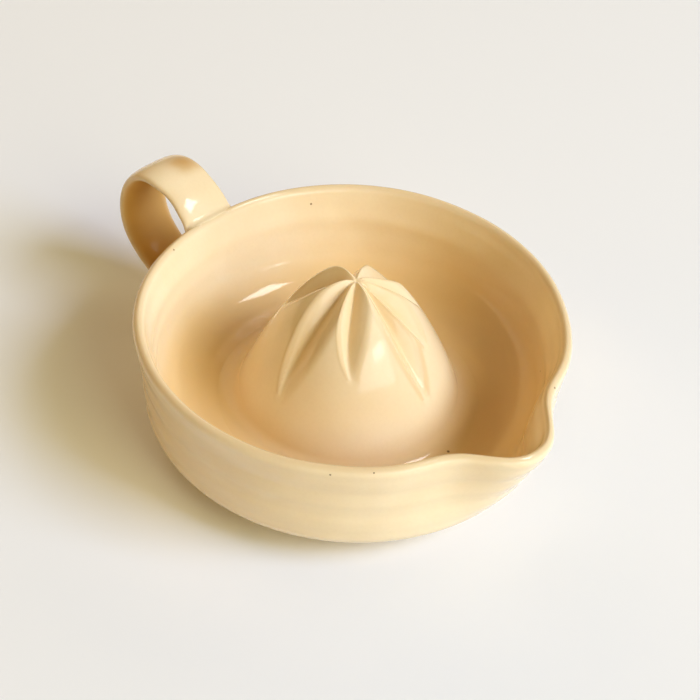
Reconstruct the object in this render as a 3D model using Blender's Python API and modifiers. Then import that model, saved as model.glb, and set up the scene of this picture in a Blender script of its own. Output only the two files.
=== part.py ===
"""A thrown and glazed citrus juicer: bowl with a pulled lip, fluted reamer and strap handle.

+X points from the middle of the bowl to its pouring lip, +Z is up and the foot stands on Z = 0.
"""

import math

import bmesh
import bpy
from mathutils import Vector

MM = 0.001

# Bowl
RIM_RADIUS = 70.0 * MM
RIM_HEIGHT = 46.3 * MM
RIM_THICKNESS = 3.8 * MM
WALL_THICKNESS = 4.8 * MM
THROAT_DEPTH = 9.0 * MM
WAIST_INSET = 3.3 * MM
WAIST_CURVE = 2.2
BELLY_HEIGHT = 12.2 * MM
BELLY_BEND = 9.0 * MM
RIDGE_COUNT = 3
RIDGE_RELIEF = 0.2 * MM
FLOOR_HEIGHT = 13.0 * MM
FLOOR_THICKNESS = 5.5 * MM
FLOOR_BEND = 11.0 * MM
FOOT_RADIUS = 50.5 * MM
FOOT_WIDTH = 7.0 * MM
FOOT_EDGE = 0.8 * MM
FOOT_ROOT_BEND = 2.5 * MM
HOLLOW_MOUTH_RADIUS = 24.0 * MM
BOWL_SIDES = 72

# Pouring lip, pulled out of the wall at +X, with a pinch on each side
LIP_REACH = 10.6 * MM
LIP_DROP = 0.8 * MM
LIP_HALF_ANGLE = 11.5
LIP_LENGTH_DOWN_WALL = 31.0 * MM
LIP_PINCH = 1.2 * MM
LIP_PINCH_ANGLE = 21.0
LIP_PINCH_SPREAD = 9.0

# Reamer, with heights measured up from the bowl's floor
REAMER_HEIGHT = 51.0 * MM
REAMER_NOSE = 14.5 * MM
REAMER_SHOULDER_RADIUS = 25.5 * MM
REAMER_SHOULDER_HEIGHT = 25.5 * MM
REAMER_RADIUS = 35.0 * MM
REAMER_SKIRT_HEIGHT = 4.0 * MM
REAMER_FLARE = 2.6 * MM
REAMER_TIP_THICKNESS = 9.0 * MM
REAMER_WALL_THICKNESS = 7.0 * MM
REAMER_OFF_CENTRE = (-0.9 * MM, -0.8 * MM)
REAMER_SIDES = 72

# Flutes, pressed by hand: direction in degrees round from the lip, and length from the tip
FLUTES = (
    (4.0, 51.0 * MM),
    (34.0, 35.0 * MM),
    (62.0, 26.0 * MM),
    (95.0, 33.0 * MM),
    (139.0, 36.0 * MM),
    (212.0, 31.0 * MM),
    (263.0, 50.0 * MM),
    (310.0, 36.0 * MM),
)
FLUTE_DEPTH = 4.2 * MM
FLUTE_DEPTH_AT_TIP = 2.8 * MM
FLUTE_WIDTH = 11.8 * MM
FLUTE_VALLEY_WIDTH = 0.8 * MM

# Handle, a strap that leaves the rim, folds back under itself and joins the wall
HANDLE_ANGLE = 182.0
HANDLE_WIDTH = 20.0 * MM
HANDLE_THICKNESS = 3.8 * MM
HANDLE_EDGE = 1.5 * MM
HANDLE_SPRING_REACH = 2.5 * MM
HANDLE_SPRING_RISE = 1.3 * MM
HANDLE_RISE = 8.4 * MM
HANDLE_CREST_REACH = 17.0 * MM
HANDLE_REACH = 34.3 * MM
HANDLE_FOLD_HEIGHT = 34.5 * MM
HANDLE_ELBOW_REACH = 22.0 * MM
HANDLE_ELBOW_HEIGHT = 16.8 * MM
HANDLE_ROOT_HEIGHT = 9.6 * MM
HANDLE_ROOT_DEPTH = 6.5 * MM
HANDLE_ROOT_WIDTH = 21.0 * MM
HANDLE_CURVE = 0.4

# Gap left where one piece is luted to another
LUTE_GAP = 0.3 * MM


def clear_scene():
    for old in list(bpy.data.objects):
        bpy.data.objects.remove(old, do_unlink=True)


def make_collection(name, helpers=False):
    group = bpy.data.collections.new(name)
    bpy.context.scene.collection.children.link(group)
    group.hide_render = helpers
    return group


def glaze(name, colour):
    material = bpy.data.materials.new(name)
    material.use_nodes = True
    shader = material.node_tree.nodes["Principled BSDF"]
    shader.inputs["Base Color"].default_value = (*colour, 1.0)
    shader.inputs["Roughness"].default_value = 0.15
    shader.inputs["Coat Weight"].default_value = 0.4
    material.diffuse_color = (*colour, 1.0)
    return material


def add_object(name, data, group, material=None, shift=(0.0, 0.0)):
    obj = bpy.data.objects.new(name, data)
    obj.location = (shift[0], shift[1], 0.0)
    group.objects.link(obj)
    if material:
        data.materials.append(material)
    else:
        obj.hide_render = True
        obj.display_type = "WIRE"
    return obj


def evaluated_mesh(obj):
    """The object's shape with its modifiers or curve settings applied, as a clean mesh."""
    bpy.context.view_layer.update()
    graph = bpy.context.evaluated_depsgraph_get()
    mesh = bpy.data.meshes.new_from_object(obj.evaluated_get(graph))
    work = bmesh.new()
    work.from_mesh(mesh)
    bmesh.ops.remove_doubles(work, verts=work.verts, dist=0.001 * MM)
    bmesh.ops.recalc_face_normals(work, faces=work.faces)
    work.to_mesh(mesh)
    work.free()
    return mesh


def turned(name, profile, sides, closed):
    """A mesh turned about Z from (radius, height) points that run down the outer side."""
    ends = len(profile) if closed else len(profile) - 1
    edges = [(i, (i + 1) % len(profile)) for i in range(ends)]
    line = bpy.data.meshes.new(name + "_profile")
    line.from_pydata([(radius, 0.0, height) for radius, height in profile], edges, [])
    blank = bpy.data.objects.new(name + "_profile", line)
    bpy.context.scene.collection.objects.link(blank)
    screw = blank.modifiers.new("turn", "SCREW")
    screw.steps = sides
    screw.render_steps = sides
    screw.use_merge_vertices = True
    screw.merge_threshold = 0.01 * MM
    mesh = evaluated_mesh(blank)
    mesh.name = name
    bpy.data.objects.remove(blank, do_unlink=True)
    mesh.shade_smooth()
    return mesh


def bezier(corners, steps):
    """Points on a cubic from the first corner to the last, each (radius, height)."""
    out = []
    for i in range(steps + 1):
        t = i / steps
        weights = ((1 - t) ** 3, 3 * t * (1 - t) ** 2, 3 * t * t * (1 - t), t**3)
        out.append(sum((w * Vector(c) for w, c in zip(weights, corners)), Vector((0, 0))))
    return out


def arc(centre, radius, start, end, steps):
    """Points round part of a circle, with the angles in degrees."""
    out = []
    for i in range(steps + 1):
        angle = math.radians(start + (end - start) * i / steps)
        out.append(Vector(centre) + radius * Vector((math.cos(angle), math.sin(angle))))
    return out


def bend(before, corner, after, radius, steps):
    """An arc in place of the corner, touching the lines to its two neighbours."""
    corner = Vector(corner)
    back = (Vector(before) - corner).normalized()
    ahead = (Vector(after) - corner).normalized()
    half = back.angle(ahead) / 2
    centre = corner + (back + ahead).normalized() * (radius / math.sin(half))
    first = corner + back * (radius / math.tan(half)) - centre
    last = corner + ahead * (radius / math.tan(half)) - centre
    turn = first.angle(last)
    out = []
    for i in range(steps + 1):
        share = i / steps
        spoke = first * math.sin((1 - share) * turn) + last * math.sin(share * turn)
        out.append(centre + spoke / math.sin(turn))
    return out


def wall_radius(height):
    """Outside radius of the smooth wall between the rim and the belly."""
    top = RIM_HEIGHT - RIM_THICKNESS / 2
    down = (top - height) / (top - BELLY_HEIGHT)
    down = min(max(down, 0.0), 1.0)
    return RIM_RADIUS - WAIST_INSET * (1 - (1 - down) ** WAIST_CURVE)


def outer_side(gap=0.0):
    """The bowl's outside from the middle of the rim's top to the foot, grown by a gap."""
    middle = (RIM_RADIUS - RIM_THICKNESS / 2, RIM_HEIGHT - RIM_THICKNESS / 2)
    points = arc(middle, RIM_THICKNESS / 2 + gap, 90, 0, 4)
    belly = Vector((wall_radius(BELLY_HEIGHT) + gap, BELLY_HEIGHT - gap / 2))
    foot = Vector((FOOT_RADIUS + gap, 0.0))
    turn = bend(belly + Vector((0, BELLY_HEIGHT)), belly, foot, BELLY_BEND, 5)
    steps = 14
    for i in range(1, steps):
        down = i / steps
        height = middle[1] + (turn[0].y - middle[1]) * down
        ridge = RIDGE_RELIEF * math.sin(math.pi * down)
        ridge *= -math.cos(2 * math.pi * RIDGE_COUNT * down)
        points.append(Vector((wall_radius(height) + ridge + gap, height)))
    points += turn
    under = Vector((FOOT_RADIUS - FOOT_WIDTH, 0.0))
    return points + bend(belly, foot, under, FOOT_EDGE, 2)


def inner_side():
    """The bowl's inside from the floor's mouth up to the rim, and its underside before that."""
    under = FLOOR_HEIGHT - FLOOR_THICKNESS
    foot = Vector((FOOT_RADIUS - FOOT_WIDTH, 0.0))
    root = Vector((foot.x, under))
    lower = Vector((HOLLOW_MOUTH_RADIUS, under))
    upper = Vector((HOLLOW_MOUTH_RADIUS, FLOOR_HEIGHT))
    spring = FLOOR_HEIGHT + FLOOR_BEND
    corner = Vector((wall_radius(spring) - WALL_THICKNESS, FLOOR_HEIGHT))
    points = bend(foot + Vector((FOOT_WIDTH, 0)), foot, root, FOOT_EDGE, 2)
    points += bend(foot, root, lower, FOOT_ROOT_BEND, 3)
    points += bend(root, lower, upper, FOOT_EDGE, 2)
    points += bend(lower, upper, corner, FOOT_EDGE, 2)
    points += bend(upper, corner, corner + Vector((0, FLOOR_BEND)), FLOOR_BEND, 7)
    middle = (RIM_RADIUS - RIM_THICKNESS / 2, RIM_HEIGHT - RIM_THICKNESS / 2)
    steps = 10
    for i in range(1, steps):
        height = spring + (middle[1] - spring) * i / steps
        share = min((middle[1] - height) / THROAT_DEPTH, 1.0)
        share = share * share * (3 - 2 * share)
        thickness = RIM_THICKNESS + (WALL_THICKNESS - RIM_THICKNESS) * share
        points.append(Vector((wall_radius(height) - thickness, height)))
    return points + arc(middle, RIM_THICKNESS / 2, 180, 90, 4)[:-1]


def pull_lip(mesh):
    """Draws the wall outwards at +X, most at the rim and not at all below the belly."""
    top = RIM_HEIGHT - RIM_THICKNESS / 2
    for vertex in mesh.vertices:
        depth = (top - vertex.co.z) / LIP_LENGTH_DOWN_WALL
        if depth >= 1.0:
            continue
        fade = 1 - max(depth, 0.0) ** 1.3
        angle = math.degrees(math.atan2(vertex.co.y, vertex.co.x))
        pull = math.exp(-abs(angle / LIP_HALF_ANGLE) ** 2.4)
        pinch = math.exp(-(((abs(angle) - LIP_PINCH_ANGLE) / LIP_PINCH_SPREAD) ** 2))
        outward = vertex.co.xy.normalized() * (LIP_REACH * pull - LIP_PINCH * pinch) * fade
        vertex.co.x += outward.x
        vertex.co.y += outward.y
        vertex.co.z -= LIP_DROP * pull * fade**2


def crowd_towards_lip(mesh):
    """Moves the mesh's radial lines closer together at the lip, where the wall curves most."""
    for vertex in mesh.vertices:
        angle = math.atan2(vertex.co.y, vertex.co.x)
        radius = vertex.co.xy.length
        angle -= 0.45 * math.sin(angle)
        vertex.co.x = radius * math.cos(angle)
        vertex.co.y = radius * math.sin(angle)


def build_bowl(group, shift):
    mesh = turned("bowl", outer_side() + inner_side(), BOWL_SIDES, closed=True)
    crowd_towards_lip(mesh)
    pull_lip(mesh)
    return add_object("bowl", mesh, group, glaze("bowl_glaze", (0.87, 0.74, 0.52)), shift)


def dome_side(steps):
    """The reamer's outside before fluting, from its tip to the top of its skirt."""
    tip = FLOOR_HEIGHT + REAMER_HEIGHT
    corners = (
        (0.0, tip),
        (REAMER_NOSE, tip),
        (REAMER_SHOULDER_RADIUS, FLOOR_HEIGHT + REAMER_SHOULDER_HEIGHT),
        (REAMER_RADIUS, FLOOR_HEIGHT + REAMER_SKIRT_HEIGHT),
    )
    return bezier(corners, steps)


def hollow_side(steps):
    """The inside of the reamer, from its open underside up to the middle."""
    crown = FLOOR_HEIGHT + REAMER_HEIGHT - REAMER_TIP_THICKNESS
    corners = (
        (REAMER_RADIUS - REAMER_WALL_THICKNESS, FLOOR_HEIGHT + LUTE_GAP),
        (
            REAMER_SHOULDER_RADIUS - REAMER_WALL_THICKNESS,
            FLOOR_HEIGHT + REAMER_SHOULDER_HEIGHT - REAMER_WALL_THICKNESS / 2,
        ),
        (REAMER_NOSE - REAMER_WALL_THICKNESS / 2, crown),
        (0.0, crown),
    )
    return bezier(corners, steps)


def flute_leaf(share):
    """Depth of a flute along its length, as a share of the full depth."""
    start = FLUTE_DEPTH_AT_TIP / FLUTE_DEPTH
    swell = math.sin(math.pi * min(share + 0.12, 1.12) / 1.12) ** 0.8 if share < 1 else 0.0
    return max(start * (1 - share) ** 2, swell) if share < 1 else 0.0


def flute_cutter(number, angle, length, group, shift):
    """A V-shaped blade led down the dome so that it cuts a leaf, deepest above the middle."""
    side = dome_side(200)
    walked = 0.0
    path = [side[0] + Vector((0, FLUTE_DEPTH - FLUTE_DEPTH_AT_TIP))]
    next_stop = length / 16
    for here, there in zip(side, side[1:]):
        walked += (there - here).length
        if walked < next_stop:
            continue
        next_stop += length / 16
        share = walked / length
        outward = Vector((here.y - there.y, there.x - here.x)).normalized()
        lift = FLUTE_DEPTH * (1 - flute_leaf(share)) + max(share - 1, 0.0) * 2 * FLUTE_DEPTH
        path.append(there + outward * lift)
        if share > 1.1:
            break
    blade = bpy.data.curves.new("flute_blade", "CURVE")
    above = 4 * MM
    slope = (FLUTE_WIDTH - FLUTE_VALLEY_WIDTH) / 2 / FLUTE_DEPTH
    half_top = FLUTE_WIDTH / 2 + slope * above
    corners = (
        (-half_top, above),
        (half_top, above),
        (FLUTE_VALLEY_WIDTH / 2, -FLUTE_DEPTH),
        (-FLUTE_VALLEY_WIDTH / 2, -FLUTE_DEPTH),
    )
    outline = blade.splines.new("POLY")
    outline.points.add(len(corners) - 1)
    for point, (across, up) in zip(outline.points, corners):
        point.co = (across, up, 0.0, 1.0)
    outline.use_cyclic_u = True
    blade_object = add_object("flute_blade_%d" % number, blade, group)
    swept = swept_mesh("flute_%d" % number, path, blade_object)
    cutter = add_object("flute_cutter_%d" % number, swept, group, shift=shift)
    cutter.rotation_euler.z = math.radians(angle)
    return cutter


def swept_mesh(name, path, blade_object, radii=None):
    """A closed mesh swept from an outline along (radius, height) points in the XZ plane."""
    line = bpy.data.curves.new(name + "_path", "CURVE")
    line.dimensions = "3D"
    line.twist_mode = "MINIMUM"
    line.bevel_mode = "OBJECT"
    line.bevel_object = blade_object
    line.use_fill_caps = True
    spline = line.splines.new("POLY")
    spline.points.add(len(path) - 1)
    for i, (point, place) in enumerate(zip(spline.points, path)):
        point.co = (place[0], 0.0, place[1], 1.0)
        point.radius = radii[i] if radii else 1.0
    carrier = bpy.data.objects.new(name + "_path", line)
    bpy.context.scene.collection.objects.link(carrier)
    mesh = evaluated_mesh(carrier)
    mesh.name = name
    bpy.data.objects.remove(carrier, do_unlink=True)
    return mesh


def build_reamer(group, cutters, shift):
    place = (shift[0] + REAMER_OFF_CENTRE[0], shift[1] + REAMER_OFF_CENTRE[1])
    base = FLOOR_HEIGHT + LUTE_GAP
    skirt_top = Vector((REAMER_RADIUS, FLOOR_HEIGHT + REAMER_SKIRT_HEIGHT))
    skirt_foot = Vector((REAMER_RADIUS + REAMER_FLARE, base))
    knee = Vector((REAMER_RADIUS + REAMER_FLARE * 0.35, base + REAMER_SKIRT_HEIGHT * 0.3))
    skirt = bezier((skirt_top, (skirt_top + knee) / 2, knee, skirt_foot + Vector((0, 0.3 * MM))), 3)
    profile = dome_side(19) + skirt[1:] + [skirt_foot] + hollow_side(9)
    mesh = turned("reamer", profile, REAMER_SIDES, closed=False)
    reamer = add_object("reamer", mesh, group, glaze("reamer_glaze", (0.88, 0.75, 0.53)), place)
    for number, (angle, length) in enumerate(FLUTES, 1):
        cut = reamer.modifiers.new("flute_%d" % number, "BOOLEAN")
        cut.operation = "DIFFERENCE"
        cut.solver = "EXACT"
        cut.object = flute_cutter(number, angle, length, cutters, place)
    return reamer


def strap_outline(group):
    """The strap's cross-section, flat with rounded edges."""
    half_width = HANDLE_WIDTH / 2 - HANDLE_EDGE
    half_thickness = HANDLE_THICKNESS / 2 - HANDLE_EDGE
    outline = bpy.data.curves.new("strap_outline", "CURVE")
    spline = outline.splines.new("POLY")
    points = []
    for quarter, (x_side, y_side) in enumerate(((1, 1), (-1, 1), (-1, -1), (1, -1))):
        centre = (x_side * half_width, y_side * half_thickness)
        points += arc(centre, HANDLE_EDGE, 90 * quarter, 90 * quarter + 90, 3)
    spline.points.add(len(points) - 1)
    for point, place in zip(spline.points, points):
        point.co = (place[0], place[1], 0.0, 1.0)
    spline.use_cyclic_u = True
    return add_object("strap_outline", outline, group)


def strap_path():
    """The strap's middle line as (radius, height), from inside the rim round to the wall."""
    half = HANDLE_THICKNESS / 2
    spring = Vector((RIM_RADIUS + HANDLE_SPRING_REACH, RIM_HEIGHT + HANDLE_SPRING_RISE))
    crest = Vector((RIM_RADIUS + HANDLE_CREST_REACH, RIM_HEIGHT + HANDLE_RISE - half))
    fold = Vector((RIM_RADIUS + HANDLE_REACH - half, HANDLE_FOLD_HEIGHT))
    elbow = Vector((RIM_RADIUS + HANDLE_ELBOW_REACH, HANDLE_ELBOW_HEIGHT))
    into_rim = spring - Vector((1.3, 1.0)) * (HANDLE_ROOT_DEPTH + HANDLE_SPRING_RISE)
    wall = wall_radius(HANDLE_ROOT_HEIGHT)
    into_wall = Vector((wall - HANDLE_ROOT_DEPTH, HANDLE_ROOT_HEIGHT))
    stops = [into_rim, spring, crest, fold, elbow, into_wall]
    headings = [
        (spring - into_rim).normalized(),
        (crest - into_rim).normalized(),
        Vector((1.0, 0.0)),
        Vector((0.0, -1.0)),
        (into_wall - fold).normalized(),
        (into_wall - elbow).normalized(),
    ]
    path = [into_rim]
    for i in range(len(stops) - 1):
        pull = (stops[i + 1] - stops[i]).length * HANDLE_CURVE
        corners = (
            stops[i],
            stops[i] + headings[i] * pull,
            stops[i + 1] - headings[i + 1] * pull,
            stops[i + 1],
        )
        path += bezier(corners, 8)[1:]
    return path


def build_handle(group, cutters, shift):
    path = strap_path()
    flare = HANDLE_ROOT_WIDTH / HANDLE_WIDTH - 1
    radii = []
    for i in range(len(path)):
        from_end = min(i, len(path) - 1 - i) / (len(path) / 4)
        radii.append(1 + flare * max(1 - from_end, 0.0))
    mesh = swept_mesh("handle", path, strap_outline(cutters), radii)
    mesh.shade_smooth()
    handle = add_object("handle", mesh, group, glaze("handle_glaze", (0.87, 0.74, 0.52)), shift)
    handle.rotation_euler.z = math.radians(HANDLE_ANGLE)
    side = outer_side(LUTE_GAP)
    solid = [Vector((0.0, side[0].y))] + side + [Vector((0.0, side[-1].y))]
    bulk = turned("bowl_bulk", solid, BOWL_SIDES, closed=False)
    crowd_towards_lip(bulk)
    cut = handle.modifiers.new("fit_to_wall", "BOOLEAN")
    cut.operation = "DIFFERENCE"
    cut.solver = "EXACT"
    cut.object = add_object("bowl_bulk", bulk, cutters, shift=shift)
    return handle


def main():
    clear_scene()
    juicer = make_collection("citrus_juicer")
    cutters = make_collection("cutters", helpers=True)
    shift = ((HANDLE_REACH - LIP_REACH) / 2, 0.0)
    build_bowl(juicer, shift)
    build_reamer(juicer, cutters, shift)
    build_handle(juicer, cutters, shift)


main()
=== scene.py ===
"""A glazed, hand-thrown citrus juicer on a pale table: bowl, fluted reamer and strap handle."""

import math

import bpy
import numpy as np
from mathutils import Matrix, Vector


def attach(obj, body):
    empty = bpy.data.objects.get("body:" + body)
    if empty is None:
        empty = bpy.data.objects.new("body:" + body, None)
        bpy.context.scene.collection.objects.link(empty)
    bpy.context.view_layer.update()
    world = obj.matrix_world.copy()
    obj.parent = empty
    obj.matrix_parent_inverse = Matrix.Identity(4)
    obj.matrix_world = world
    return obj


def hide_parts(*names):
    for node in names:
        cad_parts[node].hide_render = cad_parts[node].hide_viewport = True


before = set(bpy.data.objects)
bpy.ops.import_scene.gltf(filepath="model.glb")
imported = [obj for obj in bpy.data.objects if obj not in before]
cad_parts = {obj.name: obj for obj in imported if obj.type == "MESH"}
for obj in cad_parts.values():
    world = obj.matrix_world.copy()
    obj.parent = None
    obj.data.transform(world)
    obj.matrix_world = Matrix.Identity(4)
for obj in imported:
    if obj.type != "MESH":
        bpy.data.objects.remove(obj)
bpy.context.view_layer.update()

MM = 0.001

# The object's lengths are in millimetres, and its angles in degrees round from the pouring lip.
# The bowl's own axis stands this far from the frame's origin, towards the lip.
AXIS_X = 11.85

# Bowl
RIM_RADIUS = 70.0
RIM_HEIGHT = 46.3
RIM_THICKNESS = 3.8
RIM_MIDDLE = RIM_HEIGHT - RIM_THICKNESS / 2
WALL_THICKNESS = 4.8
THROAT_DEPTH = 9.0
WAIST_INSET = 3.3
WAIST_CURVE = 2.2
BELLY_HEIGHT = 12.2
BELLY_BEND = 9.0
FLOOR_HEIGHT = 13.0
FLOOR_THICKNESS = 5.5
FLOOR_BEND = 16.0
FOOT_RADIUS = 50.5
FOOT_WIDTH = 7.0
FOOT_EDGE = 1.2
FOOT_ROOT_BEND = 3.0
HOLLOW_MOUTH_RADIUS = 24.0
# (direction, change of radius, spread): the thrown rim isn't quite round
OUT_OF_ROUND = ((126, 1.0, 34), (50, -0.8, 24), (182, -0.6, 18), (228, 0.3, 22))
SECTION_STEP = 0.70
BOWL_COLUMNS = 420

# Throwing rings, each a wave that climbs one pitch in a turn, and the hand's unevenness
RING_PITCH = 9.6
RING_RELIEF = 0.16
FINE_RING_PITCH = 3.7
FINE_RING_SHARE = 0.12
INNER_RING_PITCH = 8.2
INNER_RING_RELIEF = 0.09
WALL_UNEVENNESS = 0.14
RIM_UNEVENNESS = 0.22

# Pouring lip
LIP_REACH = 10.6
LIP_DROP = 0.8
LIP_HALF_ANGLE = 11.5
LIP_LENGTH_DOWN_WALL = 31.0
LIP_PINCH = 1.2
LIP_PINCH_ANGLE = 21.0
LIP_PINCH_SPREAD = 9.0

# Reamer
REAMER_CENTRE = (-0.4, -0.3)
REAMER_TIP = 63.5
REAMER_NOSE = 14.5
REAMER_SHOULDER = (27.0, 39.5)
REAMER_BASE = (35.8, 17.0)
REAMER_FILLET = ((37.7, 12.9), (44.6, 12.93))
REAMER_UNDERSIDE = ((44.9, 12.4), (40.0, 11.6), (30.0, 11.8), (28.0, 13.0))
REAMER_HOLLOW = ((28.0, 13.0), (18.5, 35.0), (11.0, 55.0), (0.0, 55.0))
REAMER_UNEVENNESS = 0.12
# How far from the tip, along the dome, the rows lie closest
REAMER_FINE_LENGTH = 14
REAMER_COLUMNS = 420
FLUTE_EDGE = 0.9
FLUTE_VALLEY = 0.7
# (direction, length from the tip, width left, width right, depth, how far its end bends round)
FLUTES = (
    (7, 48, 5.0, 5.0, 5.0, 1.0),
    (27, 34, 4.4, 4.8, 4.7, 0.0),
    (62, 28, 4.2, 4.6, 4.0, 0.0),
    (95, 34, 4.6, 5.0, 4.2, 2.0),
    (145, 40, 5.0, 5.2, 4.3, 0.0),
    (209, 31, 4.4, 5.6, 4.4, 2.0),
    (266, 48, 3.6, 7.4, 4.6, 4.0),
    (309, 35, 3.0, 5.6, 4.5, 7.0),
)

# Handle
HANDLE_ANGLE = 182.0
HANDLE_THICKNESS = 4.3
# The strap's section is a rounded bar: the powers square it off across and through
STRAP_POWERS = (0.62, 0.8)
STRAP_EDGE_THINNING = 0.10
# (outward from the rim's outside, height) of the strap's middle line, its width and its lean aside
HANDLE_STOPS = (
    (-1.6, 42.0, 20.2, 0.2),
    (2.4, 47.0, 19.4, 0.3),
    (9.0, 51.4, 18.6, 0.4),
    (17.2, 53.8, 19.4, -0.2),
    (33.6, 34.8, 19.6, 0.0),
    (22.0, 16.8, 19.2, 0.0),
    (-10.0, 9.6, 19.6, 0.0),
)
# The numbers in HANDLE_STOPS of the loop's top and of its outermost point
LOOP_TOP = 3
LOOP_OUTERMOST = 4
HANDLE_BLEND = 3.4
# How deep the join's border lies under the wall's surface
BORDER_DEPTH = 0.35
STRAP_STEPS = 220
STRAP_ROWS = 200
STRAP_COLUMNS = 96

# Iron specks that show best: (x, y, height, radius)
SPECKS = (
    (19.0, -14.1, 52.4, 0.3),
    (32.9, -15.3, 36.0, 0.2),
    (35.0, -15.7, 31.9, 0.22),
    (36.1, -16.9, 28.6, 0.2),
    (36.0, -19.5, 25.5, 0.3),
    (44.9, 8.0, 16.8, 0.25),
    (57.5, -52.8, 44.4, 0.3),
    (65.9, -43.4, 45.6, 0.25),
    (75.3, 24.4, 45.6, 0.35),
    (52.3, 5.1, 13.0, 0.5),
    (-45.0, 33.0, 41.2, 0.35),
    (-50.8, -22.7, 45.6, 0.3),
    (-30.7, -38.9, 15.0, 0.25),
)
# Where a warm patch lies on the handle's fold, and how far that reaches
HANDLE_BLUSH = (-76.0, 2.0, 56.0)
HANDLE_BLUSH_REACH = 10.5

# Colours
GLAZE_DEEP = (0.84, 0.655, 0.41)
GLAZE_PALE = (0.87, 0.695, 0.455)
# pooled glaze, and painted shade in the hollows and on shaded walls
GLAZE_POOLED_AND_SHADED = (0.75, 0.455, 0.155)
GLAZE_THIN = (0.66, 0.44, 0.20)
GLAZE_GRAIN = (0.62, 0.42, 0.22)
# painted shade on the handle's underside
GLAZE_PAINTED_SHADE = (0.58, 0.31, 0.07)
GLAZE_BLUSH = (0.62, 0.36, 0.13)
IRON = (0.16, 0.075, 0.03)
CLAY_DARK = (0.50, 0.36, 0.24)
CLAY_PALE = (0.62, 0.48, 0.34)
TABLE = (0.825, 0.815, 0.83)
BACKDROP = (0.80, 0.77, 0.71)
BLACK = (0.0, 0.0, 0.0)
# How much of the backdrop the glaze mirrors
BACKDROP_IN_GLAZE = 0.15

# Camera: its direction round the bowl, its rise over the table's plane, its roll and its distance
CAMERA_TURN = -46.0
CAMERA_RISE = 40.5
CAMERA_ROLL = 4.2
CAMERA_DISTANCE = 600.0
PIXELS_PER_MM = 3.152
FRAME_PIXELS = 700
AIM_PIXEL = (354.9, 319.9)
SENSOR_WIDTH = 36

# Table and lamps, in metres. Directions go round from the right of the picture: 90 is away from
# the camera. (name, direction, rise, distance, width, height, power, tint)
TABLE_HALF = 3.0
LAMP_AIM_HEIGHT = 0.03
# What the glaze mirrors: a high window, one at the side, and a low one with faded edges
WINDOWS = (
    ("window", -4, 58, 1.8, 0.58, 0.42, 8.5, (1.0, 1.0, 1.0)),
    ("side_window", -46, 23, 2.0, 0.62, 0.24, 2.2, (1.0, 0.98, 0.92)),
    *(
        (f"low_window_{number}", -54, 16, 2.2, wide, wide * 0.42, 3.0 * wide**2, (0.94, 0.98, 1.0))
        for number, wide in enumerate((1.9, 1.4, 0.9, 0.5))
    ),
)
# What lights the colours: a cool key from the right and warm soft light all round
SOFT_BOXES = (
    ("key", -20, 38, 4.0, 2, 2, 190.0, (0.62, 0.74, 0.98)),
    ("key_warm", -50, 38, 4.0, 2, 2, 56.0, (1.0, 0.96, 0.50)),
    ("front_low", -50, 15, 4.0, 2, 2, 38.0, (0.92, 0.86, 0.66)),
    ("front_left", -150, 25, 4.0, 2.75, 2.75, 26.0, (1.0, 0.66, 0.12)),
    ("right_back", 50, 25, 4.0, 2.75, 2.75, 28.0, (1.0, 0.82, 0.50)),
    ("back", 90, 25, 4.0, 2.75, 2.75, 21.0, (1.0, 0.74, 0.25)),
    ("back_left", 130, 25, 4.0, 2.75, 2.75, 35.0, (1.0, 0.74, 0.34)),
    ("back_high", 150, 60, 4.0, 2.75, 2.75, 27.0, (1.0, 0.82, 0.60)),
)


# Lines and surfaces


def smoothstep(low, high, value):
    share = np.clip((np.asarray(value, float) - low) / (high - low), 0.0, 1.0)
    return share * share * (3 - 2 * share)


def soft_max(a, b, width):
    """The larger of two values, rounded over where they are within a width of each other."""
    return np.maximum(a, b) + np.maximum(width - np.abs(a - b), 0) ** 2 / (4 * width)


def soft_min(a, b, width):
    return np.minimum(a, b) - np.maximum(width - np.abs(a - b), 0) ** 2 / (4 * width)


def within_half_turn(angle, turn):
    """An angle brought to within half a turn of zero, whatever a turn is counted in."""
    return (angle + turn / 2) % turn - turn / 2


def step_lengths(points):
    return np.linalg.norm(np.diff(points, axis=0), axis=1)


def unit(vectors):
    return vectors / np.linalg.norm(vectors, axis=-1)[..., None]


def bezier(corners, steps):
    t = np.linspace(0, 1, steps + 1)[:, None]
    corners = [np.array(c, float) for c in corners]
    if len(corners) == 3:
        weights = ((1 - t) ** 2, 2 * t * (1 - t), t * t)
    else:
        weights = ((1 - t) ** 3, 3 * t * (1 - t) ** 2, 3 * t * t * (1 - t), t**3)
    return sum(w * c for w, c in zip(weights, corners))


def arc(centre, radius, start, end, steps):
    angle = np.radians(np.linspace(start, end, steps + 1))
    return np.stack([centre[0] + radius * np.cos(angle), centre[1] + radius * np.sin(angle)], 1)


def rounded(before, corner, after, radius, steps=12):
    """An arc in place of the corner, touching the lines to its two neighbours."""
    corner = np.array(corner, float)
    back = unit(np.array(before, float) - corner)
    ahead = unit(np.array(after, float) - corner)
    half = math.acos(float(np.clip(back @ ahead, -1, 1))) / 2
    centre = corner + unit(back + ahead) * radius / math.sin(half)
    first = corner + back * radius / math.tan(half) - centre
    last = corner + ahead * radius / math.tan(half) - centre
    turn = math.pi - 2 * half
    share = np.linspace(0, 1, steps + 1)[:, None]
    swing = first * np.sin((1 - share) * turn) + last * np.sin(share * turn)
    return centre + swing / math.sin(turn)


def resample(points, step, closed=False):
    """Points spaced evenly along a line."""
    points = np.asarray(points, float)
    if closed:
        points = np.vstack([points, points[:1]])
    lengths = step_lengths(points)
    keep = np.concatenate([[True], lengths > 1e-6])
    points = points[keep]
    along = np.concatenate([[0], np.cumsum(lengths[lengths > 1e-6])])
    count = max(int(round(along[-1] / step)), 3)
    at = np.linspace(0, along[-1], count + 1)
    out = np.stack([np.interp(at, along, points[:, k]) for k in range(points.shape[1])], 1)
    return out[:-1] if closed else out


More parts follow.
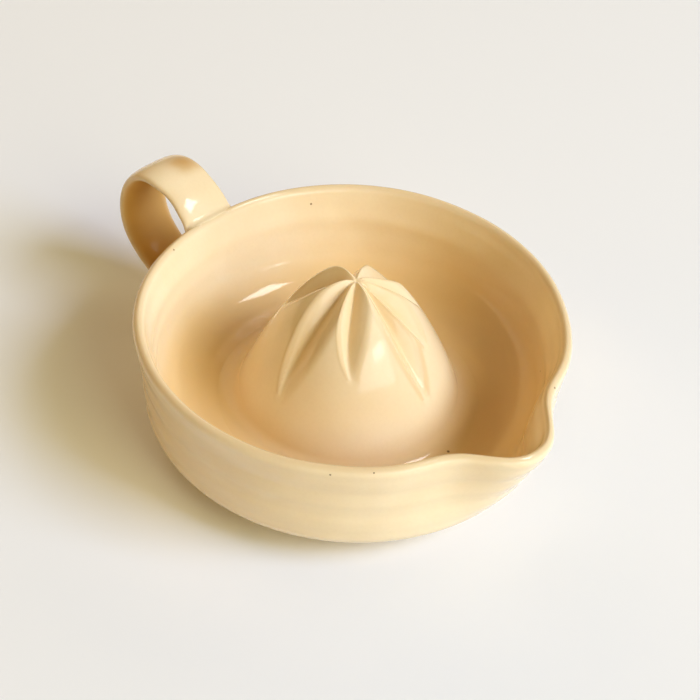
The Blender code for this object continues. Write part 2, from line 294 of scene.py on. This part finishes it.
def soften(points, rounds, closed=False):
    """Rounds a line's corners a little by averaging each point with its neighbours."""
    points = points.copy()
    for _ in range(rounds):
        mean = (np.roll(points, 1, 0) + 2 * points + np.roll(points, -1, 0)) / 4
        if closed:
            points = mean
        else:
            points[1:-1] = mean[1:-1]
    return points


def waves(along, across, seed, sizes):
    """Smooth unevenness: a sum of sines in two directions, the same each run."""
    rng = np.random.default_rng(seed)
    total = np.zeros(np.broadcast(along, across).shape)
    for size in sizes:
        for _ in range(4):
            turn = rng.uniform(0, 2 * math.pi)
            phase = rng.uniform(0, 2 * math.pi)
            wave = (np.cos(turn) * along + np.sin(turn) * across) / size
            total += np.sin(2 * math.pi * wave + phase) / 4
    return total / len(sizes)


def distance_to(line, points):
    """Distance in the section plane from points to the closed line, less than 0 inside it."""
    flat = points.reshape(-1, 2)
    best = np.full(len(flat), 1e9)
    inside = np.zeros(len(flat), bool)
    for a, b in zip(line, np.roll(line, -1, 0)):
        ab = b - a
        t = np.clip(((flat - a) @ ab) / max(ab @ ab, 1e-12), 0, 1)
        best = np.minimum(best, np.hypot(*(flat - a - t[:, None] * ab).T))
        crosses = (a[1] > flat[:, 1]) != (b[1] > flat[:, 1])
        if a[1] != b[1]:
            x = a[0] + (flat[:, 1] - a[1]) / (b[1] - a[1]) * ab[0]
            inside ^= crosses & (flat[:, 0] < x)
    return np.where(inside, -best, best).reshape(points.shape[:-1])


# Meshes


def grid_faces(rows, columns, wrap_rows):
    """Four-sided faces between rows of points, each row a closed ring."""
    a = np.arange(rows if wrap_rows else rows - 1)[:, None]
    b = np.arange(columns)[None, :]
    a2, b2 = (a + 1) % rows, (b + 1) % columns
    corners = (a * columns + b, a2 * columns + b, a2 * columns + b2, a * columns + b2)
    return np.stack(np.broadcast_arrays(*corners), -1).reshape(-1, 4)


def fan(middle, first, columns, flip=False):
    """Three-sided faces from a middle point to the ring of points that starts at the first."""
    ring = [(first + k, first + (k + 1) % columns) for k in range(columns)]
    return [(middle, b, a) if flip else (middle, a, b) for a, b in ring]


def mesh_object(name, points, quads, triangles=(), flip=False):
    """A smooth-shaded mesh object from points in millimetres about the bowl's axis."""
    points = np.asarray(points, float).reshape(-1, 3) + (AXIS_X, 0, 0)
    faces = [tuple(face) for face in (*quads.tolist(), *triangles)]
    if flip:
        faces = [face[::-1] for face in faces]
    mesh = bpy.data.meshes.new(name)
    mesh.from_pydata((points * MM).tolist(), [], faces)
    mesh.validate()
    mesh.shade_smooth()
    obj = bpy.data.objects.new(name, mesh)
    bpy.context.scene.collection.objects.link(obj)
    return obj


def add_values(obj, name, values):
    """A value for each point, for the materials. The middles of fans, which come last, get 0."""
    padded = np.zeros(len(obj.data.vertices), np.float32)
    padded[: np.size(values)] = np.ravel(values)
    layer = obj.data.attributes.new(name, "FLOAT", "POINT")
    layer.data.foreach_set("value", padded)


# The bowl's shape

# The sides of the bowl's section. Between two of them a point's side lies in between.
OUTSIDE, BENEATH, INSIDE = 0, 1, 2


def wall_radius(height):
    down = np.clip((RIM_MIDDLE - height) / (RIM_MIDDLE - BELLY_HEIGHT), 0, 1)
    return RIM_RADIUS - WAIST_INSET * (1 - (1 - down) ** WAIST_CURVE)


def bowl_profile():
    """The bowl's section as a closed line of (radius, height, side)."""
    middle = (RIM_RADIUS - RIM_THICKNESS / 2, RIM_MIDDLE)
    half = RIM_THICKNESS / 2
    belly = (float(wall_radius(BELLY_HEIGHT)), BELLY_HEIGHT)
    above_belly = (belly[0], 2 * belly[1])
    foot = (FOOT_RADIUS, 0.0)
    under = (FOOT_RADIUS - FOOT_WIDTH, 0.0)
    root = (under[0], FLOOR_HEIGHT - FLOOR_THICKNESS)
    lower = (HOLLOW_MOUTH_RADIUS, root[1])
    upper = (HOLLOW_MOUTH_RADIUS, FLOOR_HEIGHT)
    spring = FLOOR_HEIGHT + FLOOR_BEND
    corner = (float(wall_radius(spring)) - WALL_THICKNESS, FLOOR_HEIGHT)
    above_corner = (corner[0], spring + 9)
    turn = rounded(above_belly, belly, foot, BELLY_BEND)
    heights = np.linspace(middle[1], turn[0][1], 40)[1:-1]
    outer = np.stack([wall_radius(heights), heights], 1)
    heights = np.linspace(spring, middle[1], 40)[1:-1]
    share = smoothstep(0, THROAT_DEPTH, middle[1] - heights)
    thickness = RIM_THICKNESS + (WALL_THICKNESS - RIM_THICKNESS) * share
    inner = np.stack([wall_radius(heights) - thickness, heights], 1)
    parts = (
        (OUTSIDE, arc(middle, half, 90, 0, 12)),
        (OUTSIDE, outer),
        (OUTSIDE, turn),
        (BENEATH, rounded(belly, foot, under, FOOT_EDGE)),
        (BENEATH, rounded(foot, under, root, FOOT_EDGE)),
        (BENEATH, rounded(under, root, lower, FOOT_ROOT_BEND)),
        (BENEATH, rounded(root, lower, upper, FOOT_EDGE)),
        (INSIDE, rounded(lower, upper, corner, FOOT_EDGE)),
        (INSIDE, rounded(upper, corner, above_corner, FLOOR_BEND, 24)),
        (INSIDE, inner),
        (INSIDE, arc(middle, half, 180, 90, 12)[:-1]),
    )
    line = np.vstack([np.column_stack([line, np.full(len(line), side)]) for side, line in parts])
    line = resample(line, SECTION_STEP, closed=True)
    line[:, :2] = soften(line[:, :2], 3, closed=True)
    return line


def ring_wave(height, angle, pitch, phase=0.0):
    return np.cos(2 * math.pi * (height + angle / (2 * math.pi) * pitch) / pitch + phase)


def bowl_point(radius, height, side, angle):
    """Where a point of the section lies at an angle, with the lip, the rings and the unevenness."""
    turn = np.degrees(angle)
    depth = (RIM_MIDDLE - height) / LIP_LENGTH_DOWN_WALL
    fade = np.where(depth < 1, 1 - np.clip(depth, 0, 1) ** 1.3, 0.0)
    away = within_half_turn(turn, 360)
    pull = np.exp(-np.abs(away / LIP_HALF_ANGLE) ** 2.4)
    pinch = np.exp(-(((np.abs(away) - LIP_PINCH_ANGLE) / LIP_PINCH_SPREAD) ** 2))
    out = (LIP_REACH * pull - LIP_PINCH * pinch) * fade
    wall = smoothstep(8, 30, height)
    for direction, change, spread in OUT_OF_ROUND:
        gap = within_half_turn(turn - direction, 360)
        out = out + change * np.exp(-((gap / spread) ** 2)) * wall
    below_rim = 1 - smoothstep(RIM_HEIGHT - 9, RIM_HEIGHT - 2, height)
    outside = (side < 0.5) * smoothstep(7, 15, height) * below_rim
    below_rim = 1 - smoothstep(RIM_HEIGHT - 7, RIM_HEIGHT - 1, height)
    inside = (side > 1.5) * smoothstep(44, 52, radius) * below_rim
    rings = ring_wave(height, angle, RING_PITCH)
    rings = rings + FINE_RING_SHARE * ring_wave(height, angle, FINE_RING_PITCH, 1.3)
    out = out + RING_RELIEF * rings * outside
    out = out - INNER_RING_RELIEF * ring_wave(height, -angle, INNER_RING_PITCH, 0.9) * inside
    out = out + WALL_UNEVENNESS * waves(angle * 60, height, 3, (34, 21)) * wall
    waver = RIM_UNEVENNESS * waves(angle * 60, angle * 0, 8, (120, 70))
    lift = -LIP_DROP * pull * fade**2 + waver * smoothstep(30, 46, height)
    return radius + out, height + lift


def build_bowl():
    line = bowl_profile()
    radius, height, side = (column[:, None] for column in line.T)
    # the columns lie closest round the lip
    even = np.linspace(-math.pi, math.pi, BOWL_COLUMNS, endpoint=False)
    angle = (even - 0.4 * np.sin(even))[None, :]
    r, h = bowl_point(radius, height, side, angle)
    points = np.stack([r * np.cos(angle), r * np.sin(angle), h], -1)
    obj = mesh_object("bowl_thrown", points, grid_faces(len(line), BOWL_COLUMNS, True))
    all_round = np.ones_like(angle)
    add_values(obj, "thin", smoothstep(RIM_HEIGHT - 1.5, RIM_HEIGHT - 0.1, height) * all_round)
    # inside: pooled glaze and painted shade on the floor and lower wall, higher near the lip
    top = 36 + 9 * np.cos(angle)
    pooled_glaze_and_shade = (side > 1.5) * (1 - smoothstep(0, 1, (height - 14) / (top - 14)))
    # painted shade outside, under the rim on the side away from the lip
    from_lip = np.abs(within_half_turn(angle, 2 * math.pi))
    back = 0.5 * smoothstep(math.radians(40), math.radians(130), from_lip)
    pooled_glaze_and_shade = pooled_glaze_and_shade + (side < 1.5) * smoothstep(RIM_HEIGHT - 1, RIM_HEIGHT - 9, height) * back
    add_values(obj, "pooled_glaze_and_shade", pooled_glaze_and_shade)
    add_values(obj, "bare", ((height < 0.55) & (side > 0.4)) * all_round)
    return obj


# The reamer's shape


def dome_profile():
    """The reamer's outside as a line of (radius, height), from its tip to the bowl's floor."""
    tip = (0.0, REAMER_TIP)
    side = bezier((tip, (REAMER_NOSE, REAMER_TIP), REAMER_SHOULDER, REAMER_BASE), 160)
    fillet = bezier((REAMER_BASE, *REAMER_FILLET), 40)
    return np.vstack([side, fillet[1:]])


def flute_depth(along, radius, angle):
    """How deep the flutes cut, at a distance along the dome from its tip and an angle."""
    total = np.zeros(np.broadcast(along, angle).shape)
    for direction, length, left, right, depth, bend in FLUTES:
        share = along / length
        bow = math.radians(bend) * np.clip(share, 0, 1) ** 5
        gap = within_half_turn(angle - math.radians(direction) - bow, 2 * math.pi)
        across = gap * np.maximum(radius, 0.01)
        # a flute doesn't reach the far side of the tip
        across = np.where(np.abs(gap) < 1.6, across, np.sign(gap) * 99)
        taper = 1 - np.clip((share - 0.38) / 0.62, 0, 1) ** np.where(across < 0, 1.8, 2.6)
        leaf = (0.42 + 0.58 * smoothstep(0, 0.4, share)) * taper
        run_out = 1 - np.maximum((share - 0.3) / 0.7, 0) ** 1.9
        deep = depth * (0.66 + 0.34 * smoothstep(0, 0.3, share)) * run_out
        width = np.where(across < 0, left, right) * np.maximum(leaf, 1e-3)
        valley = np.sqrt(across**2 + FLUTE_VALLEY**2) - FLUTE_VALLEY
        cut = np.maximum(deep, 0) * (1 - valley / width)
        cut = np.minimum(cut, deep - 0.35 * valley)
        total = soft_max(total, cut, FLUTE_EDGE)
    return total


def about_reamer(radius, height, angle):
    """Points about the reamer's own middle, which isn't quite the bowl's."""
    x = radius * np.cos(angle) + REAMER_CENTRE[0]
    y = radius * np.sin(angle) + REAMER_CENTRE[1]
    return np.stack([x, y, height + 0 * x], -1)


def build_reamer():
    line = dome_profile()
    at = np.concatenate([[0], np.cumsum(step_lengths(line))])
    length = at[-1]
    near_tip = np.linspace(0, REAMER_FINE_LENGTH, 60, endpoint=False)
    along = np.concatenate([near_tip, np.linspace(REAMER_FINE_LENGTH, length, 150)])
    radius = np.interp(along, at, line[:, 0])
    height = np.interp(along, at, line[:, 1])
    slope = unit(np.stack([np.gradient(radius, along), np.gradient(height, along)], 1))
    # the tip itself is a point of its own, so the rows start after it
    along, radius, height, slope = (a[1:, None] for a in (along, radius, height, slope))
    angle = np.linspace(0, 2 * math.pi, REAMER_COLUMNS, endpoint=False)
    depth = flute_depth(along, radius, angle[None, :]) * (1 - smoothstep(52, 56, along))
    wobble = REAMER_UNEVENNESS * waves(angle[None, :] * 20, along, 5, (31, 17))
    wobble = wobble * smoothstep(6, 20, along) * (1 - smoothstep(52, 60, along))
    cut = depth - wobble
    outer = about_reamer(radius + slope[..., 1] * cut, height - slope[..., 0] * cut, angle)
    inner_line = np.vstack([REAMER_UNDERSIDE, bezier(REAMER_HOLLOW, 24)[1:-1]])
    inner = about_reamer(inner_line[:, :1], inner_line[:, 1:], angle)
    rows = np.concatenate([outer, inner])
    tip = (*REAMER_CENTRE, REAMER_TIP - float(depth[0].max()))
    crown = (*REAMER_CENTRE, REAMER_HOLLOW[-1][1])
    points = np.vstack([rows.reshape(-1, 3), tip, crown])
    ends = fan(len(points) - 2, 0, REAMER_COLUMNS)
    ends += fan(len(points) - 1, (len(rows) - 1) * REAMER_COLUMNS, REAMER_COLUMNS, flip=True)
    quads = grid_faces(len(rows), REAMER_COLUMNS, False)
    obj = mesh_object("reamer_fluted", points, quads, ends)
    # the glaze lies thin on the ridges between flutes
    ridge = (np.roll(depth, 3, 1) + np.roll(depth, -3, 1)) / 2 - depth
    add_values(obj, "thin", np.clip(ridge * 6, 0, 1) * smoothstep(2, 6, along))
    # the flutes and the skirt: partly pooled glaze, partly painted shade
    pooled_glaze_and_shade = np.maximum(np.clip(depth / 4, 0, 1) * 0.5, smoothstep(52, length, along))
    add_values(obj, "pooled_glaze_and_shade", pooled_glaze_and_shade)
    return obj


# The handle's shape


def strap_line():
    """The strap's middle line as (radius, height, width, lean)."""
    stops = [np.array((RIM_RADIUS + out, *rest)) for out, *rest in HANDLE_STOPS]
    last = len(stops) - 1
    headings = [
        unit(stops[min(i + 1, last)][:2] - stops[max(i - 1, 0)][:2]) for i in range(len(stops))
    ]
    headings[LOOP_TOP] = np.array((1.0, 0.0))
    headings[LOOP_OUTERMOST] = np.array((0.0, -1.0))
    share = smoothstep(0, 1, np.linspace(0, 1, 41))[:, None]
    pieces = []
    for i, (start, end) in enumerate(zip(stops, stops[1:])):
        pull = np.linalg.norm(end[:2] - start[:2]) * 0.4
        leave, arrive = start[:2] + headings[i] * pull, end[:2] - headings[i + 1] * pull
        curve = bezier((start[:2], leave, arrive, end[:2]), 40)
        rest = start[2:] + (end[2:] - start[2:]) * share
        pieces.append(np.hstack([curve, rest])[: 41 if i == last - 1 else 40])
    line = soften(resample(np.vstack(pieces), 0.5), 8)
    return resample(line, step_lengths(line[:, :2]).sum() / STRAP_STEPS)


def filled_wall():
    """The wall's section at the handle, with the bowl's hollow filled up to just under the rim,
    so that no join bulges into the bowl."""
    section = bowl_profile()
    turn = np.full(len(section), math.radians(HANDLE_ANGLE))
    wall = np.stack(bowl_point(*section.T, turn), 1)
    top = RIM_HEIGHT - 1.2
    wall = wall[(section[:, 2] < 1.5) | (wall[:, 1] > top)][::2]
    filling = [[RIM_RADIUS - 20, 1.0], [RIM_RADIUS - 20, top]]
    return np.vstack([wall[wall[:, 1] > 1.0], filling])


class Strap:
    """The handle's strap, swept along its line and then flared out over the wall at both ends.

    A place on it is a share of its length for each column round it.
    """

    def __init__(self):
        self.wall = filled_wall()
        self.line = strap_line()
        self.length = step_lengths(self.line[:, :2]).sum()
        slope = unit(np.gradient(self.line[:, :2], axis=0))
        self.up = np.stack([-slope[:, 1], slope[:, 0]], 1)
        phase = np.linspace(0, 2 * math.pi, STRAP_COLUMNS, endpoint=False)
        c, s = np.cos(phase), np.sin(phase)
        wide, tall = STRAP_POWERS
        self.across = np.sign(c) * np.abs(c) ** wide
        self.through = np.sign(s) * np.abs(s) ** tall
        self.facing = np.sign(c) * np.abs(c) ** (2 - wide), np.sign(s) * np.abs(s) ** (2 - tall)
        self.half_thickness = HANDLE_THICKNESS / 2 * (1 - STRAP_EDGE_THINNING * self.across**2)
        self.dense = np.linspace(0, 1, 260)[:, None] * np.ones(STRAP_COLUMNS)

    def points(self, places):
        """Points of the plain strap, and the directions it faces there."""
        at = places * (len(self.line) - 1)
        low = np.clip(at.astype(int), 0, len(self.line) - 2)
        part = (at - low)[..., None]
        here = self.line[low] * (1 - part) + self.line[low + 1] * part
        up = unit(self.up[low] * (1 - part) + self.up[low + 1] * part)
        half_width = here[..., 2] / 2
        middle = here[..., :2] + up * (self.through * self.half_thickness)[..., None]
        aside = self.across * half_width - here[..., 3]
        face_x, face_y = self.facing[0] / half_width, self.facing[1] / self.half_thickness
        size = np.hypot(face_x, face_y)
        face_x, face_y = face_x / size, face_y / size
        facing = np.stack([up[..., 0] * face_y, face_x, up[..., 1] * face_y], -1)
        return np.stack([middle[..., 0], aside, middle[..., 1]], -1), facing

    def gap(self, points):
        """How far points lie outside the wall."""
        radial = np.hypot(points[..., 0], points[..., 1])
        return distance_to(self.wall, np.stack([radial, points[..., 2]], -1))

    def crossings(self, gap):
        """The places where each column leaves the wall and meets it again, from dense gaps."""
        inside = gap <= 0
        middle = len(gap) // 2
        ends = []
        for k in range(STRAP_COLUMNS):
            a = np.max(np.nonzero(inside[:middle, k])[0], initial=0)
            b = middle + np.min(np.nonzero(inside[middle:, k])[0], initial=middle - 1)
            found = []
            for i, j in ((a, a + 1), (b, b - 1)):
                crosses = gap[i, k] < 0 < gap[j, k]
                share = gap[i, k] / (gap[i, k] - gap[j, k]) if crosses else 0.0
                found.append(self.dense[i, 0] + (self.dense[j, 0] - self.dense[i, 0]) * share)
            ends.append(found)
        return np.array(ends).T

    def joins(self):
        """The places where the joins begin, and how wide each join is filled."""
        where, facing = self.points(self.dense)
        places, fills = [], []
        for side, meets in enumerate(self.crossings(self.gap(where))):
            here, way = self.points(meets[None, :])
            # 1 where the strap's side is level with the wall, and 0 where it stands square on it
            level = (self.gap(here + way * 0.3) - self.gap(here - way * 0.3)) / 0.6
            fill = HANDLE_BLEND * np.clip((1 - level) / 0.45, 0.05, 1)
            # the rim has the least room for a join
            fill = fill * (1 - 0.35 * smoothstep(40.0, 44.0, here[..., 2]))
            fill = soften(fill.T, 8, closed=True).T
            reach = self.crossings(self.gap(where + facing * fill[..., None]))[side]
            most = 1.5 * fill[0] / self.length
            reach = np.clip(reach, meets - most, meets + most)
            places.append(soften(reach[:, None], 8, closed=True)[:, 0])
            fills.append(fill)
        return places, fills

    def skin(self):
        """The strap's rows of points, from under the rim to under the wall."""
        (start, end), fills = self.joins()
        # the rows lie closest at both ends
        share = np.linspace(0, 1, STRAP_ROWS)
        late = 1 - 0.5 * (2 - 2 * share) ** 1.5
        share = np.where(share < 0.5, 0.5 * (2 * share) ** 1.5, late)[:, None]
        where, facing = self.points(start + (end - start) * share)
        near = np.where(np.arange(STRAP_ROWS)[:, None] < STRAP_ROWS // 2, *fills)
        # each point goes outwards to where the strap's skin and the wall's are blended
        low, high = np.zeros(near.shape), near * 1.3
        for _ in range(22):
            mid = (low + high) / 2
            joined = soft_min(mid, self.gap(where + facing * mid[..., None]), near)
            low = np.where(joined < 0, mid, low)
            high = np.where(joined < 0, high, mid)
        skin = where + facing * low[..., None]
        skin[0] = self.under_wall(skin[0])
        skin[-1] = self.under_wall(skin[-1])
        return skin

    def under_wall(self, border):
        """A border row brought just under the wall's surface all the way round."""
        for _ in range(4):
            outward = border[:, :2] / np.hypot(border[:, 0], border[:, 1])[:, None]
            outward = np.column_stack([outward, np.zeros(len(border))])
            upward = np.array([0, 0, 1.0])
            slope = [
                (self.gap(border + way * 0.2) - self.gap(border - way * 0.2))[:, None] / 0.4
                for way in (outward, upward)
            ]
            depth = self.gap(border)[:, None] + BORDER_DEPTH
            border = border - depth * (outward * slope[0] + upward * slope[1])
        return border


def build_handle():
    strap = Strap()
    skin = strap.skin()
    caps = skin[0].mean(0), skin[-1].mean(0) - (1.5, 0, 0)
    turn = math.radians(HANDLE_ANGLE)
    c, s = math.cos(turn), math.sin(turn)
    rotate = np.array([[c, -s, 0], [s, c, 0], [0, 0, 1]])
    points = np.vstack([skin.reshape(-1, 3), *caps]) @ rotate.T
    total = STRAP_ROWS * STRAP_COLUMNS
    ends = fan(total, 0, STRAP_COLUMNS, flip=True)
    ends += fan(total + 1, total - STRAP_COLUMNS, STRAP_COLUMNS)
    quads = grid_faces(STRAP_ROWS, STRAP_COLUMNS, False)
    obj = mesh_object("handle_strap", points, quads, ends, flip=True)
    gap = strap.gap(skin)
    edge = np.clip((np.abs(strap.across) - 0.86) / 0.14, 0, 1)
    add_values(obj, "thin", edge * smoothstep(0.5, 4, gap))
    # painted shade darkens the strap's underside, which also shines least
    shade = 1.3 * smoothstep(0.2, 0.9, -strap.through) * smoothstep(1, 8, gap)
    # the whole strap is a little darker all over, and most underneath
    add_values(obj, "pooled_glaze_and_shade", np.maximum(shade, 0.15))
    add_values(obj, "shade_and_dull", shade * 0.7)
    return obj


# Materials


def nodes_of(name):
    material = bpy.data.materials.new(name)
    material.use_nodes = True
    tree = material.node_tree
    return material, tree, tree.nodes["Principled BSDF"]


def feed(tree, socket, value):
    """Links another node's output to a socket, or sets a plain value on it."""
    if isinstance(value, bpy.types.NodeSocket):
        tree.links.new(value, socket)
    else:
        socket.default_value = value


def node(tree, kind, settings=None, **inputs):
    new = tree.nodes.new(kind)
    for key, value in (settings or {}).items():
        setattr(new, key, value)
    for key, value in inputs.items():
        feed(tree, new.inputs[key.replace("_", " ")], value)
    return new


def colour(shade):
    return (*shade, 1.0)


def mix(tree, amount, a, b):
    new = tree.nodes.new("ShaderNodeMix")
    new.data_type = "RGBA"
    for socket, value in zip((new.inputs[0], new.inputs[6], new.inputs[7]), (amount, a, b)):
        feed(tree, socket, value)
    return new.outputs[2]


def ramp(tree, value, low, high, start=0.0, end=1.0):
    """A smooth rise from start to end while the value goes from low to high."""
    settings = {"interpolation_type": "SMOOTHSTEP", "clamp": True}
    limits = {"From_Min": low, "From_Max": high, "To_Min": start, "To_Max": end}
    return node(tree, "ShaderNodeMapRange", settings, Value=value, **limits).outputs[0]


def maths(tree, operation, *values):
    new = tree.nodes.new("ShaderNodeMath")
    new.operation = operation
    for socket, value in zip(new.inputs, values):
        feed(tree, socket, value)
    return new.outputs[0]


def stain(tree, base, amount, strength, shade):
    """The base colour with a shade mixed in where the amount is high."""
    return mix(tree, maths(tree, "MULTIPLY", amount, strength), base, colour(shade))


def attribute(tree, name):
    return node(tree, "ShaderNodeAttribute", {"attribute_name": name}).outputs["Fac"]


def noise(tree, place, scale, detail, roughness=0.5):
    inputs = {"Scale": scale, "Detail": detail, "Roughness": roughness}
    return node(tree, "ShaderNodeTexNoise", Vector=place, **inputs).outputs["Fac"]


def bump(tree, height, **inputs):
    return node(tree, "ShaderNodeBump", Height=height, **inputs).outputs[0]


def distance_from(tree, place, point):
    """The distance in metres from a point in millimetres."""
    gap = node(tree, "ShaderNodeVectorMath", {"operation": "DISTANCE"})
    feed(tree, gap.inputs[0], place)
    feed(tree, gap.inputs[1], [c * MM for c in point])
    return gap.outputs["Value"]


def speck_mask(tree, place):
    """Iron specks: a few by chance, and the ones that show best in their own places."""
    cells = node(tree, "ShaderNodeTexVoronoi", Vector=place, Scale=110.0, Randomness=1.0)
    chance = node(tree, "ShaderNodeSeparateColor", Color=cells.outputs["Color"])
    rare = ramp(tree, chance.outputs[0], 0.90, 0.905)
    size = maths(tree, "MULTIPLY_ADD", chance.outputs[1], 0.018, 0.016)
    dot = maths(tree, "LESS_THAN", cells.outputs["Distance"], size)
    mask = maths(tree, "MULTIPLY", dot, rare)
    for *point, wide in SPECKS:
        gap = distance_from(tree, place, point)
        mask = maths(tree, "MAXIMUM", mask, ramp(tree, gap, wide * 1.3 * MM, wide * 0.7 * MM))
    return mask


def blush_mask(tree, place):
    """The warm patch with uneven edges on the handle's fold."""
    uneven = maths(tree, "MULTIPLY", noise(tree, place, 120.0, 2.0), 0.004)
    gap = maths(tree, "ADD", distance_from(tree, place, HANDLE_BLUSH), uneven)
    return ramp(tree, gap, HANDLE_BLUSH_REACH * MM, 0.002, 0.0, 0.95)


def glaze_material(name, shaded_and_dulled=False):
    """Cream glaze. For the handle, values on it paint shade into it and take its shine."""
    material, tree, shader = nodes_of(name)
    place = tree.nodes.new("ShaderNodeTexCoord").outputs["Object"]
    cloud = ramp(tree, noise(tree, place, 38.0, 2.0), 0.35, 0.65)
    grain = ramp(tree, noise(tree, place, 900.0, 3.0, 0.6), 0.35, 0.75, 0.0, 0.06)
    specks = speck_mask(tree, place)
    base = mix(tree, cloud, colour(GLAZE_DEEP), colour(GLAZE_PALE))
    # pooled glaze and painted shade, in one colour
    base = stain(tree, base, attribute(tree, "pooled_glaze_and_shade"), 0.75, GLAZE_POOLED_AND_SHADED)
    base = stain(tree, base, attribute(tree, "thin"), 0.45, GLAZE_THIN)
    base = mix(tree, grain, base, colour(GLAZE_GRAIN))
    if shaded_and_dulled:
        shade_and_dull = attribute(tree, "shade_and_dull")
        # painted shade on the handle's underside
        base = stain(tree, base, shade_and_dull, 0.7, GLAZE_PAINTED_SHADE)
        shine = maths(tree, "SUBTRACT", 1.0, shade_and_dull)
    base = mix(tree, blush_mask(tree, place), base, colour(GLAZE_BLUSH))
    base = stain(tree, base, specks, 0.85, IRON)
    # orange peel all over, and a pit at each speck that the clear coat fills
    peel = bump(tree, noise(tree, place, 260.0, 2.0), Strength=0.25, Distance=0.00008)
    pits = maths(tree, "MULTIPLY", specks, -1.0)
    pitted = bump(tree, pits, Normal=peel, Strength=0.5, Distance=0.0001)
    settings = {
        "Base Color": base,
        "IOR": 1.5,
        "Roughness": 0.3,
        "Specular IOR Level": 0.0,
        "Coat Weight": shine if shaded_and_dulled else 1.0,
        "Coat Roughness": 0.10,
        "Coat IOR": 1.5,
        "Subsurface Weight": 0.12,
        "Subsurface Radius": (1.0, 0.55, 0.25),
        "Subsurface Scale": 0.002,
        "Normal": pitted,
        "Coat Normal": peel,
    }
    for socket, value in settings.items():
        feed(tree, shader.inputs[socket], value)
    return material


def clay_material():
    material, tree, shader = nodes_of("bare_clay")
    place = tree.nodes.new("ShaderNodeTexCoord").outputs["Object"]
    grain = noise(tree, place, 700.0, 5.0, 0.7)
    base = mix(tree, ramp(tree, grain, 0.35, 0.65), colour(CLAY_DARK), colour(CLAY_PALE))
    feed(tree, shader.inputs["Base Color"], base)
    feed(tree, shader.inputs["Roughness"], 0.85)
    rough = bump(tree, grain, Strength=0.6, Distance=0.0003)
    feed(tree, shader.inputs["Normal"], rough)
    return material


# The object

bowl = build_bowl()
reamer = build_reamer()
handle = build_handle()
for piece, node_name in ((bowl, "bowl"), (reamer, "reamer"), (handle, "handle")):
    glaze = glaze_material(node_name + "_glaze_skin", shaded_and_dulled=piece is handle)
    piece.data.materials.append(glaze)
    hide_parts(node_name)
    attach(piece, "root")

# the foot's sole is bare clay
bowl.data.materials.append(clay_material())
bare = np.zeros(len(bowl.data.vertices), np.float32)
bowl.data.attributes["bare"].data.foreach_get("value", bare)
for face in bowl.data.polygons:
    if all(bare[i] > 0.5 for i in face.vertices):
        face.material_index = 1

# Table and backdrop

scene = bpy.context.scene
scene.view_settings.view_transform = "Standard"

table_mesh = bpy.data.meshes.new("table_top")
quarters = ((-1, -1), (1, -1), (1, 1), (-1, 1))
corners = [(x * TABLE_HALF, y * TABLE_HALF, 0) for x, y in quarters]
table_mesh.from_pydata(corners, [], [(0, 1, 2, 3)])
table_top = bpy.data.objects.new("table_top", table_mesh)
scene.collection.objects.link(table_top)
paper, _, paper_shader = nodes_of("pale_table")
paper_shader.inputs["Base Color"].default_value = colour(TABLE)
paper_shader.inputs["Roughness"].default_value = 0.7
table_mesh.materials.append(paper)

# the backdrop is seen by the camera and a little in the glaze, and gives no light
world = bpy.data.worlds.new("studio")
scene.world = world
world.use_nodes = True
tree = world.node_tree
rays = tree.nodes.new("ShaderNodeLightPath").outputs
mirrored = maths(tree, "MULTIPLY", rays["Is Glossy Ray"], BACKDROP_IN_GLAZE)
seen = maths(tree, "MAXIMUM", rays["Is Camera Ray"], mirrored)
seen = maths(tree, "MAXIMUM", seen, rays["Is Transmission Ray"])
shown = mix(tree, seen, colour(BLACK), colour(BACKDROP))
feed(tree, tree.nodes["Background"].inputs["Color"], shown)

# Lamps and camera


def direction(turn, rise):
    turn, rise = math.radians(turn), math.radians(rise)
    flat = math.cos(rise)
    return Vector((math.cos(turn) * flat, math.sin(turn) * flat, math.sin(rise)))


def place_light(name, turn, rise, distance, width, height, power, tint):
    """An area lamp that faces the bowl. The camera never sees it."""
    lamp = bpy.data.lights.new(name, "AREA")
    lamp.shape = "RECTANGLE"
    lamp.size = width
    lamp.size_y = height
    lamp.energy = power
    lamp.color = tint
    obj = bpy.data.objects.new(name, lamp)
    scene.collection.objects.link(obj)
    way = direction(turn + CAMERA_TURN + 90, rise)
    obj.location = Vector((AXIS_X * MM, 0, LAMP_AIM_HEIGHT)) + way * distance
    obj.rotation_euler = way.to_track_quat("Z", "Y").to_euler()
    obj.visible_camera = False
    return obj


for row in WINDOWS:
    place_light(*row).visible_diffuse = False
for row in SOFT_BOXES:
    place_light(*row).visible_glossy = False

back = direction(CAMERA_TURN, CAMERA_RISE)
right = direction(CAMERA_TURN + 90, 0)
up = back.cross(right)
roll = math.radians(CAMERA_ROLL)
right, up = (
    right * math.cos(roll) + up * math.sin(roll),
    up * math.cos(roll) - right * math.sin(roll),
)
camera_data = bpy.data.cameras.new("camera")
camera_data.sensor_width = SENSOR_WIDTH
camera_data.lens = PIXELS_PER_MM * CAMERA_DISTANCE / FRAME_PIXELS * SENSOR_WIDTH
camera_data.clip_start = 0.01
camera_data.shift_x = -(AIM_PIXEL[0] - FRAME_PIXELS / 2) / FRAME_PIXELS
camera_data.shift_y = (AIM_PIXEL[1] - FRAME_PIXELS / 2) / FRAME_PIXELS
camera = bpy.data.objects.new("camera", camera_data)
scene.collection.objects.link(camera)
pose = Matrix((right, up, back)).transposed().to_4x4()
aim = Vector((AXIS_X, 0, RIM_MIDDLE)) * MM
pose.translation = aim + back * CAMERA_DISTANCE * MM
camera.matrix_world = pose
scene.camera = camera
